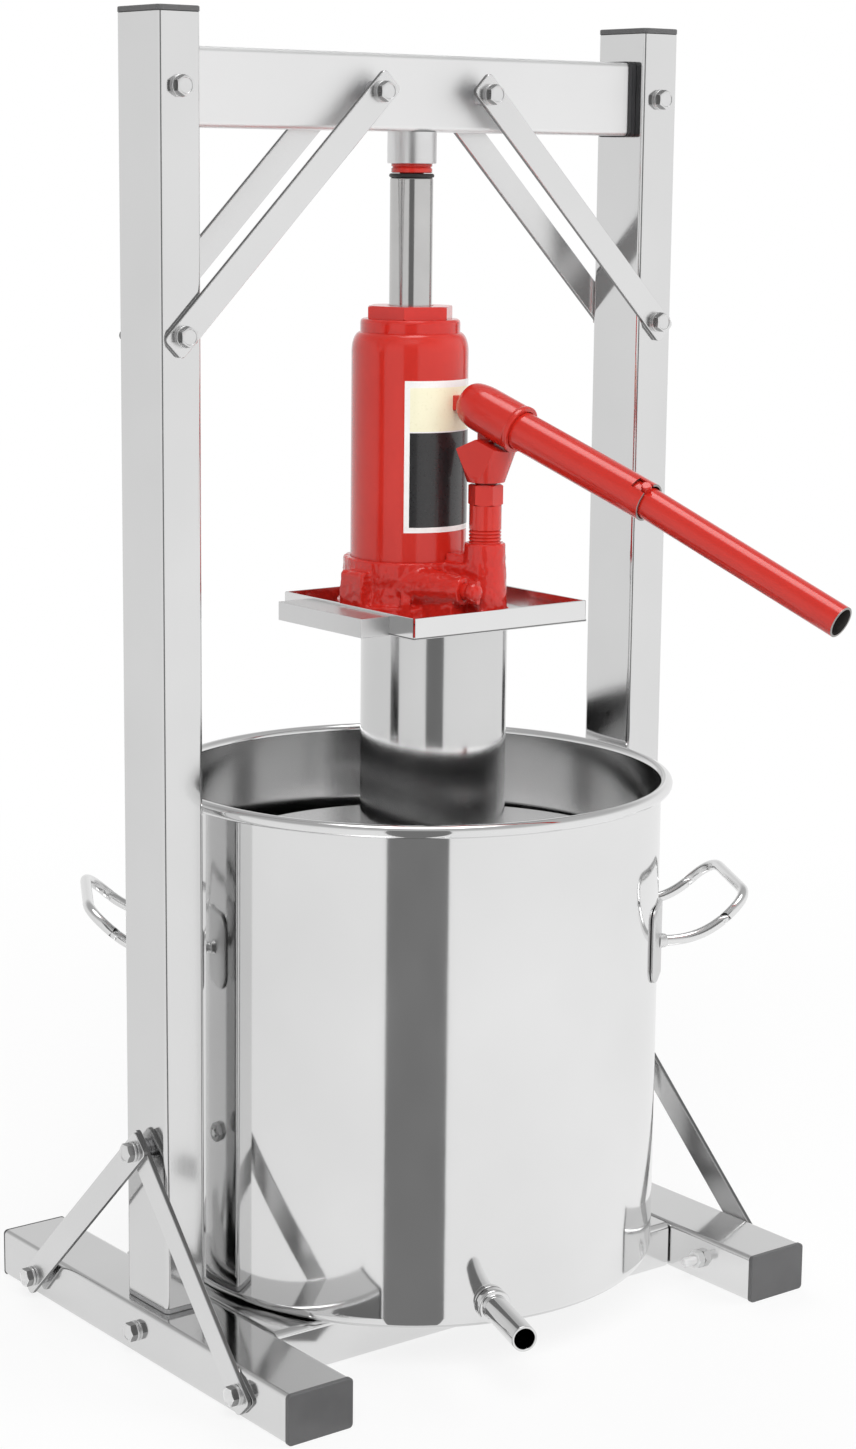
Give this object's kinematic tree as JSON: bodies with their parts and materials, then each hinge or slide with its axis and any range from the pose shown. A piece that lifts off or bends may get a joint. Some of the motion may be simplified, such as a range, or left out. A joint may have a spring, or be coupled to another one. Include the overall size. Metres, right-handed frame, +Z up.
{
  "type": "hydraulic fruit press",
  "caption": "Bolted tube frame with a bottle jack that pushes a round plate on a column down into a steel barrel with a drain spout.",
  "frame": {"origin": "on the floor under the ram's axis, at the middle of the base box's underside", "axes": "+X to the right along the crossbeam, +Y to the back, +Z up along the ram"},
  "size_m": [0.4102, 0.442, 0.763],
  "materials": {
    "polished_stainless": "mirror-polished stainless steel",
    "plain_steel": "plain bright steel",
    "grey_plastic": "moulded dark grey plastic",
    "red_enamel": "glossy red enamel on steel and cast iron",
    "black_rubber": "black rubber",
    "ram_chrome": "ground and chromed steel"
  },
  "bodies": {
    "frame": {"left_foot": "polished_stainless", "right_foot": "polished_stainless", "foot_end_caps": "grey_plastic", "base_box": "polished_stainless", "base_end_plates": "plain_steel", "left_upright": "polished_stainless", "right_upright": "polished_stainless", "upright_end_caps": "grey_plastic", "crossbeam": "polished_stainless", "beam_end_caps": "grey_plastic", "beam_splice_bars": "plain_steel", "foot_splice_bars": "plain_steel", "front_upper_braces": "polished_stainless", "rear_upper_braces": "polished_stainless", "left_front_lower_brace": "polished_stainless", "left_rear_lower_brace": "polished_stainless", "right_front_lower_brace": "polished_stainless", "right_rear_lower_brace": "polished_stainless", "beam_brace_sleeves": "plain_steel", "lower_brace_sleeves": "plain_steel", "upper_brace_bolts": "plain_steel", "beam_joint_bolts": "plain_steel", "lower_brace_bolts": "plain_steel", "foot_brace_bolts": "plain_steel", "base_bolts": "plain_steel", "hex_nuts": "plain_steel", "flat_washers": "plain_steel", "thrust_cup": "polished_stainless"},
    "screw": {"ram_screw": "red_enamel"},
    "ram": {"ram": "ram_chrome", "ram_ring": "black_rubber", "ram_piston": "plain_steel", "piston_seal": "black_rubber"},
    "jack": {"jack_base": "red_enamel", "reservoir_tube": "red_enamel", "pressure_cylinder": "plain_steel", "top_nut": "red_enamel", "filler_plug": "black_rubber", "fulcrum_lug": "red_enamel", "fulcrum_pin": "plain_steel", "pump_barrel": "red_enamel", "check_balls": "plain_steel", "jack_tray": "polished_stainless", "tray_grip": "polished_stainless", "press_column": "polished_stainless", "press_plate": "polished_stainless"},
    "plunger": {"pump_plunger": "red_enamel", "plunger_pin": "plain_steel"},
    "rocker": {"lever_socket": "red_enamel"},
    "lever": {"lever_tube": "red_enamel"},
    "extension": {"lever_extension": "red_enamel", "catch_pin": "red_enamel"},
    "valve": {"release_valve": "red_enamel"},
    "barrel": {"barrel": "polished_stainless", "left_handle": "polished_stainless", "right_handle": "polished_stainless", "handle_brackets": "polished_stainless", "handle_bosses": "plain_steel", "spout": "polished_stainless"}
  },
  "joints": [
    {"name": "screw_turn", "type": "hinge", "parent": "frame", "child": "screw", "pos_m": [0, 0, 0.685], "axis": [0, 0, 1], "range_deg": [0, 1800]},
    {"name": "ram_screw_travel", "type": "slide", "parent": "frame", "child": "ram", "axis": [0, 0, -1], "range_m": [0, 0.02]},
    {"name": "ram_stroke", "type": "slide", "parent": "ram", "child": "jack", "axis": [0, 0, 1], "range_m": [-0.038, 0.07]},
    {"name": "pump_lever", "type": "hinge", "parent": "jack", "child": "rocker", "pos_m": [0.01216, -0.0454, 0.546], "axis": [-0.9659, -0.2588, 0], "range_deg": [0, 45]},
    {"name": "pump_stroke", "type": "slide", "parent": "jack", "child": "plunger", "axis": [0, 0, 1], "range_m": [0, 0.0077]},
    {"name": "lever_pull", "type": "slide", "parent": "rocker", "child": "lever", "axis": [0.2408, -0.8987, -0.3665], "range_m": [0, 0.025]},
    {"name": "extension_pull", "type": "slide", "parent": "lever", "child": "extension", "axis": [0.2372, -0.8851, -0.4003], "range_m": [0, 0.03]},
    {"name": "release_turn", "type": "hinge", "parent": "jack", "child": "valve", "pos_m": [-0.00527, -0.06146, 0.44], "axis": [0.2588, -0.9659, 0], "range_deg": [0, 120]},
    {"name": "barrel_turn", "type": "hinge", "parent": "frame", "child": "barrel", "pos_m": [0.002, -0.006, 0.029], "axis": [0, 0, 1], "range_deg": [-50, 0]}
  ],
  "couplings": [
    {"joint": "screw_turn", "follows": "ram_screw_travel", "rad_per_m": 1570.8},
    {"joint": "pump_stroke", "follows": "pump_lever", "m_per_rad": 0.009745}
  ]
}
